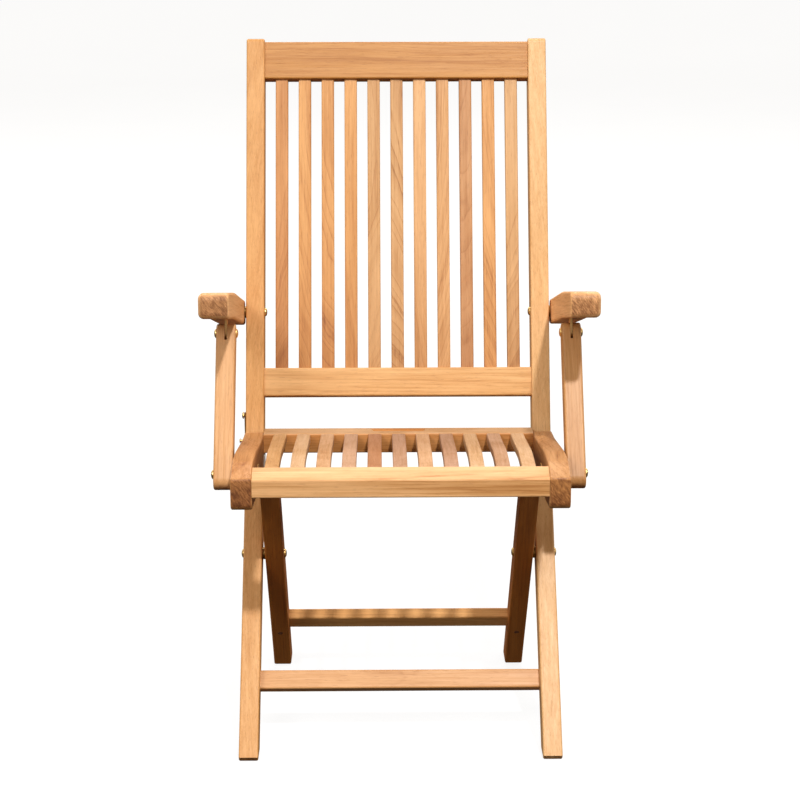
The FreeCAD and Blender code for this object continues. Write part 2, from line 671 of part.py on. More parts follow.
def seat_slat_outline(sk):
    th = V["seat_slat_thick"]
    low = [(SLAT_TOP[0][0], SLAT_TOP[0][1] - th, 0.0)]
    for p, turn in zip(SLAT_TOP[1:-1], (1.0, -1.0, -1.0)):
        low.append((p[0], p[1] - th, p[2] + turn * th))
    low.append((SLAT_TOP[-1][0], SLAT_TOP[-1][1] - th, 0.0))
    chain(sk, rounded(SLAT_TOP) + rounded(low)
          + [Part.LineSegment(vec(SLAT_TOP[-1]), vec(low[-1])), Part.LineSegment(vec(low[0]), vec(SLAT_TOP[0]))])


slat_row("seat_slats", seat_slat_outline, D("seat_slat_width"))

# ---------------------------------------------------------------- arms, tongues and posts
ARM_TOP = [(56.5, 673.0), (200.0, 644.3), (394.0, 593.0)]
ARM_LOW = [(398.0, 552.5), (180.0, 609.5), (54.5, 636.4)]


def line_z(line, y):
    pts = sorted(line)
    for a, c in zip(pts, pts[1:]):
        if a[0] <= y <= c[0]:
            return a[1] + (c[1] - a[1]) * (y - a[0]) / (c[0] - a[0])
    raise ValueError(y)


slot_mid = (V["post_inner"] + V["post_width"] / 2.0)
for name, s in SIDES:
    w = D("arm_width")
    x0 = D("arm_inner") if s > 0 else -(D("arm_inner") + D("arm_width"))
    b = new_body("arm_" + name, x0)
    sk = new_sketch(b, "Outline")
    upper = [(ARM_TOP[0] + (0.0,)), (ARM_TOP[1] + (500.0,)), (ARM_TOP[2] + (0.0,))]
    lower = [(ARM_LOW[0] + (0.0,)), (ARM_LOW[1] + (420.0,)), (ARM_LOW[2] + (0.0,))]
    chain(sk, rounded(upper) + [Part.LineSegment(vec(ARM_TOP[2]), vec(ARM_LOW[0]))]
          + rounded(lower) + [Part.LineSegment(vec(ARM_LOW[2]), vec(ARM_TOP[0]))])
    pad(b, sk, w)

    fillet(b, near(*ARM_TOP[-1]), Dim(8.0, "8.0"), "TailTop")
    fillet(b, near(*ARM_LOW[0]), Dim(9.0, "9.0"), "TailLow")
    fillet(b, near(*ARM_TOP[0]), Dim(11.0, "11.0"), "FrontTop")
    fillet(b, near(*ARM_LOW[-1]), Dim(8.0, "8.0"), "FrontLow")
    outer_x, inner_x = (w.v, 0.0) if s > 0 else (0.0, w.v)
    fillet(b, in_plane_x(outer_x), Dim(8.0, "8.0"), "OuterEdges")
    fillet(b, in_plane_x(inner_x), Dim(4.0, "4.0"), "InnerEdges")
    hole(b, D("arm_pivot_y"), D("arm_pivot_z"), D("bolt_radius") + D("running_gap"), -1.0, w + 2.0, "PivotHole")

    # brass tongue let into the underside of the arm
    tw = D("tongue_width")
    embed = V["tongue_embed"]
    under_z = line_z(ARM_LOW, HEAD[0])
    off = V["post_inner"] + V["post_width"] / 2.0 - V["arm_inner"] - V["tongue_thick"] / 2.0
    loc = off if s > 0 else V["arm_width"] - off - V["tongue_thick"]
    slope = math.atan2(line_z(ARM_LOW, HEAD[0] - 12) - line_z(ARM_LOW, HEAD[0] + 12), 24.0)
    ax = (math.sin(slope), math.cos(slope))      # away from the arm's underside, upwards
    px = (-math.cos(slope), math.sin(slope))     # along the arm, towards its front

    def tp(a, c):
        return (HEAD[0] + px[0] * a + ax[0] * c, HEAD[1] + px[1] * a + ax[1] * c)

    top_c = (under_z - HEAD[1]) / ax[1] + embed
    hw = V["tongue_width"] / 2.0
    rr = V["tongue_radius"]

    sk2 = new_sketch(b, "TongueSlot", offset=Dim(loc, repr(loc)))
    polygon(sk2, [tp(-hw, 4.0), tp(hw, 4.0), tp(hw, top_c), tp(-hw, top_c)])
    pocket(b, sk2, D("tongue_thick"), "TongueSlotCut")

    half_t = D("tongue_thick") / 2.0
    mid_x = D("post_inner") + D("post_width") / 2.0
    t = new_body("arm_tongue_" + name, (mid_x - half_t) if s > 0 else -(mid_x + half_t))
    sk3 = new_sketch(t, "Outline")
    shoulder = top_c - embed - 1.5
    chain(sk3, [
        Part.LineSegment(vec(tp(-hw, shoulder)), vec(tp(-hw, top_c))),
        Part.LineSegment(vec(tp(-hw, top_c)), vec(tp(hw, top_c))),
        Part.LineSegment(vec(tp(hw, top_c)), vec(tp(hw, shoulder))),
        Part.LineSegment(vec(tp(hw, shoulder)), vec(tp(rr, 0.0))),
        Part.Arc(vec(tp(rr, 0.0)), vec(tp(0.0, -rr)), vec(tp(-rr, 0.0))),
        Part.LineSegment(vec(tp(-rr, 0.0)), vec(tp(-hw, shoulder))),
    ])
    pad(t, sk3, D("tongue_thick"))
    hole(t, e_head_y, e_head_z, D("pin_radius") + D("running_gap"), -1.0, D("tongue_thick") + 2.0, "PinHole")

    # post
    p0 = D("post_inner") if s > 0 else -(D("post_inner") + D("post_width"))
    p = new_body("arm_post_" + name, p0)
    d = unit(FOOT, HEAD)
    n = (-d[1], d[0])
    h = V["post_depth"] / 2.0
    tail = V["post_foot_tail"] - h
    lowc = (FOOT[0] - d[0] * tail, FOOT[1] - d[1] * tail)
    sk4 = new_sketch(p, "Outline")
    chain(sk4, stadium(lowc, HEAD, h))
    pad(p, sk4, D("post_width"))
    fillet(p, side_edges(V["post_width"]), Dim(3.0, "3.0"), "Edges")
    hole(p, D("post_foot_y"), D("post_foot_z"), D("pin_radius") + 0.1, -1.0, D("post_width") + 2.0, "FootHole")
    hole(p, e_head_y, e_head_z, D("pin_radius"), -1.0, D("post_width") + 2.0, "HeadHole")
    so = D("post_width") / 2.0 - D("slot_width") / 2.0
    sk5 = new_sketch(p, "SlotSketch", offset=so)

    def pp(a, c):
        return (HEAD[0] + n[0] * a + d[0] * c, HEAD[1] + n[1] * a + d[1] * c)

    polygon(sk5, [pp(-h - 3, -V["slot_below"]), pp(h + 3, -V["slot_below"]), pp(h + 3, h + 4), pp(-h - 3, h + 4)])
    pocket(p, sk5, D("slot_width"), "Slot")


# ---------------------------------------------------------------- turned brass: bolts, washers, pins, screws
def turned(label, items):
    """Solids of revolution about lines along x. Each item: (y, z, [(x, r), ...]) with the half profile in order."""
    group = []
    for k, (y, z, prof) in enumerate(items):
        pts = [Vector(num(x), 0, num(r)) for x, r in prof]
        edges = []
        closed = pts + [pts[0]]
        for a, c in zip(closed, closed[1:]):
            if (a - c).Length > 1e-9:
                edges.append(Part.LineSegment(a, c).toShape())
        face = Part.Face(Part.Wire(edges))
        solid = face.revolve(Vector(0, 0, 0), Vector(1, 0, 0), 360)
        solid.translate(Vector(0, num(y) - V["depth_mid"], num(z) + V["lift"]))
        group.append(solid)
    return group


def cap_profile(x0, r, hgt, direction, steps=10):
    """Half profile of a domed cap standing on the plane x0: a short skirt, then a dome."""
    skirt = hgt * 0.28
    pts = [(x0, r), (x0 + direction * skirt, r)]
    for i in range(1, steps):
        a = math.radians(90.0 * i / steps)
        pts.append((x0 + direction * (skirt + (hgt - skirt) * math.sin(a)), r * math.cos(a)))
    pts.append((x0 + direction * hgt, 0.0))
    return pts


def feature(label, solids):
    f = doc.addObject("Part::Feature", label)
    f.Label = label
    f.Shape = Part.makeCompound(solids) if len(solids) > 1 else solids[0]
    BODIES.append(f)
    return f


def bolt(side, y, z, x_in, x_out, r, cap_in=None, cap_out=None, cr=None):
    """Shank from x_in to x_out (distances from the centre plane) with domed caps where given."""
    cr = V["cap_radius"] if cr is None else cr
    prof = []
    if cap_in:
        c = cap_profile(x_in, cr, cap_in, -1)
        prof += list(reversed(c))
        prof.append((x_in, r))
    else:
        prof += [(x_in, 0.0), (x_in, r)]
    if cap_out:
        prof.append((x_out, r))
        prof += cap_profile(x_out, cr, cap_out, 1)
    else:
        prof += [(x_out, r), (x_out, 0.0)]
    return (y, z, [(side * px_, rr_) for px_, rr_ in prof])


def ring(side, y, z, x_in, x_out, r_in, r_out):
    return (y, z, [(side * x_in, r_in), (side * x_out, r_in), (side * x_out, r_out), (side * x_in, r_out)])


HI, BD = V["half_inner"], V["board"]
CH_, SC = V["cap_height"], V["small_cap_height"]
BR, PR = V["bolt_radius"], V["pin_radius"]
RBD = V["rear_board"]
RLI = V["rear_leg_inner"]
ARM_OUT = V["arm_inner"] + V["arm_width"]
RO = V["rail_inner"] + V["rail_board"]
PI_, PO = V["post_inner"], V["post_inner"] + V["post_width"]

feature("cross_pivot_bolts", turned("", [bolt(s, PIV1[0], PIV1[1], RLI - 0.2, HI + BD, BR, CH_, CH_) for _, s in SIDES]))
feature("cross_pivot_washers", turned("", [ring(s, PIV1[0], PIV1[1], RLI + RBD + 0.2, HI, BR, V["washer_radius"]) for _, s in SIDES]))
feature("arm_pivot_bolts", turned("", [bolt(s, ARM[0], ARM[1], HI, ARM_OUT + 0.2, BR, CH_, CH_) for _, s in SIDES]))
feature("arm_pivot_spacers", turned("", [ring(s, ARM[0], ARM[1], HI + BD, V["arm_inner"] - 0.2, BR, V["washer_radius"]) for _, s in SIDES]))
feature("post_foot_screws", turned("", [bolt(s, FOOT[0], FOOT[1], RO - 13.0, PO + 0.2, PR, None, CH_) for _, s in SIDES]))
feature("post_foot_washers", turned("", [ring(s, FOOT[0], FOOT[1], RO, PI_ - 0.2, PR, V["washer_radius"]) for _, s in SIDES]))
for name, s in SIDES:
    feature("post_head_bolt_" + name, turned("", [bolt(s, HEAD[0], HEAD[1], PI_, PO, PR, SC, CH_)]))

# outer hinge plates that carry the seat pins
HPT = V["hinge_plate_thick"]
PLATE_A, PLATE_B = (303.5, 377.0), (286.0, 352.0)


for name, s in SIDES:
    xo = D("half_inner") + D("board")
    x0 = xo if s > 0 else -(xo + D("hinge_plate_thick"))
    b = new_body("seat_hinge_plate_" + name, x0)
    sk = new_sketch(b, "Outline")
    chain(sk, hull_outline([(PIV3, 9.5), (PLATE_B, 8.0), (PLATE_A, 8.0)]))
    pad(b, sk, D("hinge_plate_thick"))
    hole(b, D("seat_pivot_y"), D("seat_pivot_z"), D("pin_radius"), -1.0, D("hinge_plate_thick") + 2.0, "PinHole")
    for k, q in enumerate((PLATE_A, PLATE_B)):
        hole(b, q[0], q[1], D("screw_radius"), -1.0, D("hinge_plate_thick") + 2.0, "ScrewHole%d" % k)

feature("seat_hinge_pins", turned("", [bolt(s, PIV3[0], PIV3[1], RO - 20.0, HI + BD + HPT, PR, None, V["small_cap_height"], 6.0) for _, s in SIDES]))
SR, SHR = V["screw_radius"], V["screw_head_radius"]
feature("hinge_plate_screws", turned("", [bolt(s, q[0], q[1], HI + BD, HI + BD + HPT, SR, None, 2.0, SHR)
                                          for _, s in SIDES for q in (PLATE_A, PLATE_B)]))

# pins through the heads of the rear legs; their tips reach through the notch plates
TIP = V["rail_inner"] + 2.2
feature("seat_rest_pins", turned("", [bolt(s, REST[0], REST[1], RLI, TIP, V["rest_pin_radius"], 3.0, None, 6.0) for _, s in SIDES]))
NPX = V["rail_inner"] - V["plate_thick"]
feature("notch_plate_screws", turned("", [(q[0], q[1], [(s * (NPX - 0.25), 0.0), (s * (NPX - 0.2), 1.2), (s * NPX, 2.4), (s * V["rail_inner"], 2.4), (s * V["rail_inner"], 0.0)])
                                          for _, s in SIDES for q in NOTCH_SCREWS]))

feature("heel_plate_screws", turned("", [(q[0], q[1], [(s * (NPX - 0.25), 0.0), (s * (NPX - 0.2), 1.0), (s * NPX, 1.9), (s * V["rail_inner"], 1.9), (s * V["rail_inner"], 0.0)])
                                         for _, s in SIDES for q in HEEL_SCREWS]))

# wooden plugs that pin the rear stretcher, showing on the front faces of the rear legs
plugs = []
for _, s in SIDES:
    fy, fz = rear_point(mid_t, -hd)
    p0 = Vector(s * (RLI + RBD / 2.0), num(fy) - V["depth_mid"] - rc * 0.15, num(fz) + V["lift"] - rs * 0.15)
    plugs.append(Part.makeCylinder(V["plug_radius"], V["plug_depth"] + 0.15, p0, Vector(0, rc, rs)))
feature("rear_leg_plugs", plugs)

# ---------------------------------------------------------------- latch hook on the left stile
E_ = (V["latch_y"], V["latch_z"])
XF = HI + BD
prof = [(XF, 0.0), (XF, 2.2), (XF + 4.2, 2.2), (XF + 4.2, 5.4), (XF + 4.8, 5.5)]
for i in range(1, 8):
    a = math.radians(90.0 * i / 8)
    prof.append((XF + 4.8 + 1.9 * math.sin(a), 5.5 * math.cos(a)))
prof.append((XF + 6.7, 0.0))
feature("latch_screw", turned("", [(E_[0], E_[1], [(-x, r) for x, r in prof])]))

WR = V["wire_radius"]
LL = V["latch_length"]
yc, zc = E_[0] - V["depth_mid"], E_[1] + V["lift"]
xw = -(XF + 2.1)
eye_r = 2.2 + 0.35 + WR
eye = Part.makeTorus(eye_r, WR, Vector(xw, yc, zc), Vector(1, 0, 0))
stem = Part.makeCylinder(WR - 0.12, LL - 2 * eye_r, Vector(xw, yc, zc - eye_r), Vector(0, 0, -1))
# open hook: three quarters of a ring round the stud, mouth to the front when it hangs
hook_r = eye_r
ring_full = Part.makeTorus(hook_r, WR, Vector(xw, yc, zc - LL), Vector(1, 0, 0))
mouth = Part.makeBox(4 * WR, hook_r + 4.0, hook_r + 4.0, Vector(xw - 2 * WR, yc - hook_r - 4.0 - 1.6, zc - LL + 0.4))
hook_ring = ring_full.cut(mouth)
hook = eye.fuse([stem, hook_ring])
feature("latch_hook", [hook])

# stud on the left seat rail that the hook takes when the chair is folded
prof = [(RO, 0.0), (RO, 2.0), (RO + 3.9, 2.0), (RO + 3.9, 3.6), (RO + 4.3, 3.7), (RO + 5.2, 2.6), (RO + 5.5, 0.0)]
feature("latch_stud", turned("", [(V["stud_y"], V["stud_z"], [(-x, r) for x, r in prof])]))

# ---------------------------------------------------------------- check and write
doc.recompute()
bad = []
for o in doc.Objects:
    if any(w in ("Invalid", "Error") for w in o.State):
        bad.append(o.Name)
for o in BODIES:
    sh = o.Shape
    if sh.isNull() or not sh.isValid():
        bad.append(o.Label + " shape")
if bad:
    raise SystemExit("failed: " + ", ".join(bad))
os.makedirs("parts", exist_ok=True)
for old in os.listdir("parts"):
    if old.endswith(".step"):
        os.remove(os.path.join("parts", old))
box = FreeCAD.BoundBox()
for o in BODIES:
    sh = o.Shape
    box.add(sh.BoundBox)
    sh.exportStep(os.path.join("parts", o.Label + ".step"))
    print("%-28s %2d solids %8.1f cm3" % (o.Label, len(sh.Solids), sh.Volume / 1000.0))
print("x %.2f %.2f  y %.2f %.2f  z %.2f %.2f" % (box.XMin, box.XMax, box.YMin, box.YMax, box.ZMin, box.ZMax))
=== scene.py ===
import math

import bmesh
import bpy
from mathutils import Matrix, Vector

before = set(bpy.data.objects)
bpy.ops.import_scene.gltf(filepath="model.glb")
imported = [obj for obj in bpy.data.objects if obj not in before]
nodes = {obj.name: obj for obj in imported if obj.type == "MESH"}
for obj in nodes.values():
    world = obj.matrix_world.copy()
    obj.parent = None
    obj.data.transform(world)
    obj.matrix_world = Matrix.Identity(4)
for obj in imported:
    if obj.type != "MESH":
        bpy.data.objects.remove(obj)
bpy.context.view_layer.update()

# The chair's side view, in metres in the shared frame: y behind, z up.
MID, LIFT = 0.2497, 0.003
LOW = (math.sin(math.radians(37.1)), math.cos(math.radians(37.1)))      # lower leg, floor to bend
HIGH = (math.sin(math.radians(20.07)), math.cos(math.radians(20.07)))   # stile above the seat
REAR = (-math.sin(math.radians(38.05)), math.cos(math.radians(38.05)))  # rear legs
PITCH = 0.0357                                                          # slat spacing


# ------------------------------------------------------------------ node helpers
class Tree:
    """Small helper for building a material's node tree."""

    def __init__(self, name):
        self.mat = bpy.data.materials.new(name)
        self.mat.use_nodes = True
        self.t = self.mat.node_tree
        self.t.nodes.clear()
        self.out = self.t.nodes.new("ShaderNodeOutputMaterial")
        self.bsdf = self.t.nodes.new("ShaderNodeBsdfPrincipled")
        self.link(self.bsdf.outputs[0], self.out.inputs[0])

    def new(self, kind, **props):
        n = self.t.nodes.new(kind)
        for k, v in props.items():
            setattr(n, k, v)
        return n

    def link(self, a, b):
        self.t.links.new(a, b)

    def put(self, socket, value):
        if hasattr(value, "is_linked"):
            self.link(value, socket)
        else:
            socket.default_value = value

    def math(self, op, a, b=0.0, c=0.0, clamp=False):
        n = self.new("ShaderNodeMath", operation=op, use_clamp=clamp)
        self.put(n.inputs[0], a)
        self.put(n.inputs[1], b)
        if len(n.inputs) > 2:
            self.put(n.inputs[2], c)
        return n.outputs[0]

    def dot(self, vec, d):
        n = self.new("ShaderNodeVectorMath", operation="DOT_PRODUCT")
        self.put(n.inputs[0], vec)
        n.inputs[1].default_value = d
        return n.outputs["Value"]

    def combine(self, x, y, z):
        n = self.new("ShaderNodeCombineXYZ")
        for s, v in zip(n.inputs, (x, y, z)):
            self.put(s, v)
        return n.outputs[0]

    def noise(self, vec, scale, detail=3.0, rough=0.5, w=None, distortion=0.0):
        n = self.new("ShaderNodeTexNoise", noise_dimensions="4D" if w is not None else "3D")
        self.put(n.inputs["Vector"], vec)
        n.inputs["Scale"].default_value = scale
        n.inputs["Detail"].default_value = detail
        n.inputs["Roughness"].default_value = rough
        n.inputs["Distortion"].default_value = distortion
        if w is not None:
            self.put(n.inputs["W"], w)
        return n.outputs["Fac"]

    def ramp(self, fac, stops, interpolation="LINEAR"):
        n = self.new("ShaderNodeValToRGB")
        n.color_ramp.interpolation = interpolation
        e = n.color_ramp.elements
        while len(e) > 1:
            e.remove(e[-1])
        e[0].position, e[0].color = stops[0][0], tuple(stops[0][1]) + (1.0,)
        for p, c in stops[1:]:
            x = e.new(p)
            x.color = tuple(c) + (1.0,)
        self.link(fac, n.inputs[0])
        return n.outputs[0]

    def range(self, v, a, b, c, d, clamp=True):
        n = self.new("ShaderNodeMapRange", clamp=clamp)
        self.link(v, n.inputs[0])
        for i, x in enumerate((a, b, c, d)):
            n.inputs[i + 1].default_value = x
        return n.outputs[0]

    def mix(self, fac, a, b, blend="MIX"):
        n = self.new("ShaderNodeMix", data_type="RGBA", blend_type=blend)
        self.put(n.inputs[0], fac)
        for s, v in ((n.inputs[6], a), (n.inputs[7], b)):
            if hasattr(v, "is_linked"):
                self.link(v, s)
            else:
                s.default_value = tuple(v) + (1.0,)
        return n.outputs[2]


def lin(r, g, b):
    """sRGB 0-255 to linear."""
    out = []
    for c in (r, g, b):
        c /= 255.0
        out.append(c / 12.92 if c <= 0.04045 else ((c + 0.055) / 1.055) ** 2.4)
    return tuple(out)


# tones of oiled teak
HONEY, GOLD, AMBER, STRAW = lin(206, 155, 103), lin(202, 144, 83), lin(190, 130, 74), lin(197, 149, 98)
TAN, SAND, CLAY, ROSE = lin(190, 148, 118), lin(208, 168, 129), lin(190, 137, 90), lin(179, 136, 108)
RUSSET, LINEN, UMBER = lin(174, 119, 81), lin(203, 158, 119), lin(176, 106, 39)


def teak(name, along, seed, mid=GOLD, spread=1.0, ring=1.0, slope=0.03, bow=0.0, top=0.0, slats=None, end=(0.80, 0.72, 0.66),
         painted_shade_low=None, painted_end_shade_low=None, painted_face_light=None):
    """Oiled teak. along: grain direction; mid: its middle tone; spread: how far patches stray from it; ring: strength
    of the growth-ring figure; slope: how fast the rings run out along the length; bow: how much more they do away from
    the place top along the grain; slats: for a row of slats along x, a list of (tone, figure) for each; end: tone of
    the end grain; painted_shade_low: (low, high) heights between which painted shade darkens the wood downwards;
    painted_end_shade_low: the same painted shade on the end grain alone; painted_face_light: (direction, tint) painted
    light or shade on the faces turned that way."""
    t = Tree(name)
    co = t.new("ShaderNodeTexCoord")
    obj = co.outputs["Object"]
    nrm = co.outputs["Normal"]
    along = Vector(along).normalized()
    side = Vector((1, 0, 0)) if abs(along.x) < 0.5 else Vector((0, 1, 0))
    side = (side - along * side.dot(along)).normalized()
    third = along.cross(side).normalized()
    u = t.dot(obj, along)
    v = t.dot(obj, side)
    w = t.dot(obj, third)
    if slats:
        k = t.math("FLOOR", t.math("ADD", t.math("DIVIDE", v, PITCH), 0.5))
        kn = t.new("ShaderNodeTexWhiteNoise", noise_dimensions="1D")
        t.link(t.math("ADD", k, seed * 3.17), kn.inputs["W"])
        sep = t.new("ShaderNodeSeparateColor")
        t.link(kn.outputs["Color"], sep.inputs[0])
        vl = t.math("SUBTRACT", v, t.math("MULTIPLY", k, PITCH))
        s4 = t.math("ADD", t.math("MULTIPLY", k, 1.37), seed * 1.913)
        pick = t.math("DIVIDE", t.math("ADD", k, len(slats) / 2.0), float(len(slats)))
        tone = t.ramp(pick, [(i / len(slats), c) for i, (c, f) in enumerate(slats)], "CONSTANT")
        figure = t.ramp(pick, [(i / len(slats), (f, f, f)) for i, (c, f) in enumerate(slats)], "CONSTANT")
        ringw = t.math("MULTIPLY", figure, ring)
        lean = t.math("SUBTRACT", sep.outputs[0], 0.5)
        run = t.math("MULTIPLY", lean, 2.0 * slope)
        bend = t.math("MULTIPLY", t.math("SIGN", lean), t.math("MULTIPLY", t.math("ADD", figure, 0.3), bow))
        aside = t.math("SUBTRACT", sep.outputs[1], 0.5)
        off = t.math("ADD", t.math("MULTIPLY", aside, 0.05), t.math("MULTIPLY", t.math("SIGN", aside), 0.012))
        deep = t.math("ADD", t.math("MULTIPLY", sep.outputs[2], 0.03), 0.014)
    else:
        vl, s4, tone, ringw, run, bend = v, seed * 1.913, mid, ring, slope, bow
        off = (seed * 0.37 % 1.0) * 0.05 - 0.025
        deep = 0.016 + (seed * 0.21 % 1.0) * 0.03

    # slow wander of the grain, a few millimetres over a hand's length
    slow = t.noise(t.combine(t.math("MULTIPLY", u, 4.5), t.math("MULTIPLY", vl, 8.0), t.math("MULTIPLY", w, 8.0)), 1.0, 2.0, 0.5, w=s4)
    wander = t.math("MULTIPLY", t.math("SUBTRACT", slow, 0.5), 0.022)

    # growth rings round a far pith line, running out along the board; wet and dry years keep their spacing uneven
    rv = t.math("ADD", t.math("ADD", vl, wander), off)
    rw = t.math("ADD", t.math("ADD", w, t.math("MULTIPLY", wander, 0.6)), deep)
    rad = t.math("SQRT", t.math("ADD", t.math("MULTIPLY", rv, rv), t.math("MULTIPLY", rw, rw)))
    rad = t.math("ADD", rad, t.math("MULTIPLY", u, run))
    gone = t.math("SUBTRACT", u, top)
    rad = t.math("ADD", rad, t.math("MULTIPLY", t.math("MULTIPLY", gone, gone), bend))
    year = t.new("ShaderNodeTexNoise", noise_dimensions="1D")
    t.link(t.math("ADD", rad, seed * 0.71), year.inputs["W"])
    year.inputs["Scale"].default_value = 95.0
    year.inputs["Detail"].default_value = 2.0
    wob = t.noise(t.combine(t.math("MULTIPLY", u, 14.0), t.math("MULTIPLY", vl, 60.0), t.math("MULTIPLY", w, 60.0)), 1.0, 3.0, 0.6, w=s4)
    ph = t.math("ADD", t.math("MULTIPLY", rad, 170.0), t.math("MULTIPLY", wob, 0.55))
    ph = t.math("ADD", ph, t.math("MULTIPLY", year.outputs["Fac"], 3.4))
    saw = t.math("FRACT", ph)
    rings = t.ramp(saw, [(0.0, (0.12, 0.12, 0.12)), (0.08, (0, 0, 0)), (0.55, (0.08, 0.08, 0.08)), (0.82, (0.36, 0.36, 0.36)),
                         (0.93, (1, 1, 1)), (1.0, (0.12, 0.12, 0.12))])

    # streaks and pores that run with the grain
    broad = t.noise(t.combine(t.math("MULTIPLY", u, 2.6), t.math("MULTIPLY", rad, 120.0), t.math("MULTIPLY", w, 60.0)), 1.0, 3.0, 0.6, w=s4)
    streak = t.noise(t.combine(t.math("MULTIPLY", u, 6.0), t.math("MULTIPLY", vl, 330.0), t.math("MULTIPLY", w, 330.0)), 1.0, 4.0, 0.62, w=s4)
    fine = t.noise(t.combine(t.math("MULTIPLY", u, 24.0), t.math("MULTIPLY", vl, 1000.0), t.math("MULTIPLY", w, 1000.0)), 1.0, 3.0, 0.65, w=s4)
    pores = t.noise(t.combine(t.math("MULTIPLY", u, 70.0), t.math("MULTIPLY", vl, 950.0), t.math("MULTIPLY", w, 950.0)), 1.0, 2.0, 0.6, w=s4)
    pore = t.range(pores, 0.58, 0.70, 0.0, 1.0)
    patch = t.noise(t.combine(t.math("MULTIPLY", u, 3.2), t.math("MULTIPLY", vl, 26.0), t.math("MULTIPLY", w, 26.0)), 1.0, 3.0, 0.55, w=s4)
    cloud = t.noise(t.combine(t.math("MULTIPLY", u, 11.0), t.math("MULTIPLY", vl, 40.0), t.math("MULTIPLY", w, 40.0)), 1.0, 2.0, 0.5, w=s4)

    shade = t.math("ADD", 0.38, t.math("MULTIPLY", t.math("SUBTRACT", patch, 0.5), 0.62 * spread))
    shade = t.math("ADD", shade, t.math("MULTIPLY", t.math("SUBTRACT", broad, 0.5), 1.05 * spread))
    shade = t.math("ADD", shade, t.math("MULTIPLY", t.math("SUBTRACT", cloud, 0.5), 0.26 * spread))
    shade = t.math("ADD", shade, t.math("MULTIPLY", t.math("SUBTRACT", streak, 0.5), 0.90 * spread))
    shade = t.math("ADD", shade, t.math("MULTIPLY", t.math("SUBTRACT", fine, 0.5), 0.60))
    shade = t.math("ADD", shade, t.math("MULTIPLY", rings, t.math("MULTIPLY", ringw, 0.30)), clamp=True)
    tint = t.ramp(shade, [(0.0, (1.24, 1.31, 1.40)), (0.30, (1.07, 1.09, 1.09)), (0.55, (0.91, 0.84, 0.70)),
                          (0.80, (0.68, 0.54, 0.37)), (1.0, (0.42, 0.28, 0.15))])
    col = t.mix(1.0, tone, tint, "MULTIPLY")
    col = t.mix(t.math("MULTIPLY", pore, 0.40), col, t.mix(1.0, col, (0.46, 0.34, 0.24), "MULTIPLY"))
    # painted shade: below the upper height the wood is darkened towards the bottom, mottled by the cloud noise
    if painted_shade_low:
        painted_shade_mask = t.range(t.dot(obj, (0.0, 0.0, 1.0)), painted_shade_low[0], painted_shade_low[1], 0.75, 0.0)
        col = t.mix(t.math("MULTIPLY", painted_shade_mask, t.range(cloud, 0.3, 0.7, 0.7, 1.0)), col, t.mix(1.0, col, (0.72, 0.60, 0.46), "MULTIPLY"))

    # painted light and shade: faces turned one way are made lighter or darker by a tint
    if painted_face_light:
        painted_face_mask = t.range(t.dot(nrm, painted_face_light[0]), 0.4, 0.85, 0.0, 1.0)
        col = t.mix(painted_face_mask, col, t.mix(1.0, col, painted_face_light[1], "MULTIPLY"))

    # end grain drinks more oil: darker, with the rings cut across and lost under speckles
    facing = t.math("ABSOLUTE", t.dot(nrm, along))
    cut = t.range(facing, 0.62, 0.93, 0.0, 1.0)
    erings = t.ramp(saw, [(0.0, (0.94, 0.92, 0.90)), (0.5, (1, 1, 1)), (0.85, (0.84, 0.78, 0.72)), (0.95, (0.78, 0.70, 0.62)), (1.0, (0.94, 0.92, 0.90))])
    # saw marks cross it aslant
    across = t.math("ADD", t.math("MULTIPLY", vl, 0.80), t.math("MULTIPLY", w, 0.60))
    down = t.math("SUBTRACT", t.math("MULTIPLY", w, 0.80), t.math("MULTIPLY", vl, 0.60))
    speck = t.noise(t.combine(t.math("MULTIPLY", t.math("ADD", across, t.math("MULTIPLY", wob, 0.010)), 560.0), t.math("MULTIPLY", down, 95.0),
                              t.math("MULTIPLY", u, 400.0)), 1.0, 4.0, 0.66)
    blotch = t.noise(t.combine(t.math("MULTIPLY", vl, 120.0), t.math("MULTIPLY", w, 50.0), t.math("MULTIPLY", u, 90.0)), 1.0, 3.0, 0.6)
    endcol = t.mix(1.0, tone, end, "MULTIPLY")
    endcol = t.mix(t.range(blotch, 0.3, 0.6, 1.0, 0.25), endcol, t.mix(1.0, endcol, erings, "MULTIPLY"))
    endcol = t.mix(t.range(blotch, 0.42, 0.66, 0.0, 0.90), endcol, t.mix(1.0, endcol, (0.50, 0.40, 0.33), "MULTIPLY"))
    endcol = t.mix(t.range(speck, 0.46, 0.68, 0.0, 0.85), endcol, t.mix(1.0, endcol, (0.40, 0.31, 0.25), "MULTIPLY"))
    endcol = t.mix(t.range(speck, 0.48, 0.30, 0.0, 0.75), endcol, t.mix(1.0, endcol, (1.38, 1.42, 1.48), "MULTIPLY"))
    # painted shade: the end grain darkened towards the bottom between two heights
    if painted_end_shade_low:
        painted_shade_mask = t.range(t.dot(obj, (0.0, 0.0, 1.0)), painted_end_shade_low[0], painted_end_shade_low[1], 1.0, 0.0)
        endcol = t.mix(t.math("MULTIPLY", painted_shade_mask, t.range(speck, 0.35, 0.6, 0.55, 1.0)), endcol, t.mix(1.0, endcol, (0.50, 0.40, 0.32), "MULTIPLY"))
    col = t.mix(cut, col, endcol)
    t.link(col, t.bsdf.inputs["Base Color"])

    rough = t.range(streak, 0.3, 0.7, 0.42, 0.58)
    rough = t.math("ADD", rough, t.math("MULTIPLY", cut, 0.12))
    t.link(rough, t.bsdf.inputs["Roughness"])
    t.bsdf.inputs["Specular IOR Level"].default_value = 0.40
    t.bsdf.inputs["Coat Weight"].default_value = 0.08
    t.bsdf.inputs["Coat Roughness"].default_value = 0.30

